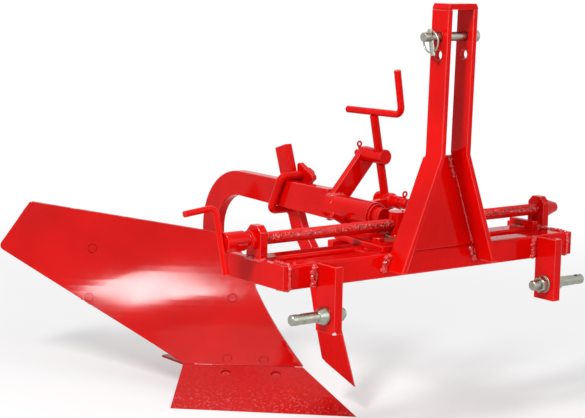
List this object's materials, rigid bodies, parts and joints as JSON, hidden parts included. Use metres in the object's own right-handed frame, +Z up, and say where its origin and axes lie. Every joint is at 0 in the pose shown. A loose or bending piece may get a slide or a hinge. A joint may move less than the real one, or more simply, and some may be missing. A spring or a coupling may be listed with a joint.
{
  "type": "moldboard plough",
  "caption": "Tractor-mounted single-furrow plough with a three-point headstock, sliding offset carriage, tilting beam, share, moldboard and knife coulter.",
  "frame": {"origin": "middle of the foot of the whole plough's box, on the ground it stands on", "axes": "+Z up, +Y to the rear against the direction of travel, +X to the unploughed land (the side away from the moldboard)"},
  "size_m": [1.0032, 1.151, 0.9255],
  "materials": {
    "red_paint": "gloss red enamel over welded steel",
    "spindle_paint": "thin red paint on a greased thread",
    "zinc_steel": "zinc-plated steel"
  },
  "bodies": {
    "headstock": {"front_rail": "red_paint", "rear_rail": "red_paint", "left_end_plate": "red_paint", "right_end_plate": "red_paint", "spindle_brackets": "red_paint", "left_link_bracket": "red_paint", "right_link_bracket": "red_paint", "left_link_pin": "zinc_steel", "right_link_pin": "zinc_steel", "link_pin_nuts": "zinc_steel", "left_mast_leg": "red_paint", "right_mast_leg": "red_paint", "mast_cap": "red_paint", "mast_gusset": "red_paint", "top_link_pin": "zinc_steel", "linch_pin": "zinc_steel", "linch_ring": "zinc_steel", "carriage_stop": "red_paint", "offset_spindle": "spindle_paint", "spindle_hub": "red_paint", "spindle_crank": "red_paint", "spindle_end_nut": "red_paint"},
    "carriage": {"carriage_plate": "red_paint", "rear_cross_bar": "red_paint", "guide_block": "red_paint", "clamp_plate": "red_paint", "carriage_bolts": "red_paint", "spindle_nut_post": "red_paint", "swivel_tube": "red_paint", "tube_cradle": "red_paint", "tube_lock_bar": "red_paint", "screw_lug": "red_paint"},
    "beam": {"plough_beam": "red_paint", "beam_collar": "red_paint", "tilt_arm": "red_paint", "swivel_shaft": "red_paint", "shaft_washer": "red_paint", "coulter_u_bolt": "red_paint", "coulter_clamp_plate": "red_paint", "coulter_clamp_nuts": "red_paint", "frog_rib": "red_paint", "frog_outer_rib": "red_paint", "share_seat": "red_paint", "moldboard_seat": "red_paint", "share": "red_paint", "moldboard": "red_paint", "face_bolts": "red_paint", "stay_pad": "red_paint", "moldboard_stay": "red_paint", "landside": "red_paint", "landside_bolts": "red_paint"},
    "coulter": {"knife_coulter": "red_paint"},
    "tilt_screw": {"tilt_screw": "red_paint", "screw_foot": "red_paint", "foot_split_pin": "red_paint", "tilt_crank": "red_paint"},
    "tilt_nut": {"tilt_nut": "red_paint", "nut_split_pin": "red_paint"}
  },
  "joints": [
    {"name": "carriage_slide", "type": "slide", "parent": "headstock", "child": "carriage", "axis": [1, 0, 0], "range_m": [-0.23, 0.245]},
    {"name": "beam_tilt", "type": "hinge", "parent": "carriage", "child": "beam", "pos_m": [0.01665, -0.28549, 0.465], "axis": [0, 1, 0], "range_deg": [-10, 10]},
    {"name": "tilt_screw_swing", "type": "hinge", "parent": "carriage", "child": "tilt_screw", "pos_m": [0.11765, -0.26549, 0.4795], "axis": [0, 1, 0], "range_deg": [-10, 10]},
    {"name": "tilt_nut_turn", "type": "hinge", "parent": "beam", "child": "tilt_nut", "pos_m": [0.09745, -0.26549, 0.5785], "axis": [0, 1, 0], "range_deg": [-2, 2]},
    {"name": "coulter_height", "type": "slide", "parent": "beam", "child": "coulter", "axis": [0, 0.3469, 0.9379], "range_m": [-0.04, 0.05]}
  ],
  "couplings": [
    {"joint": "tilt_screw_swing", "follows": "beam_tilt", "ratio": 0.941},
    {"joint": "tilt_nut_turn", "follows": "beam_tilt", "ratio": -0.059}
  ]
}
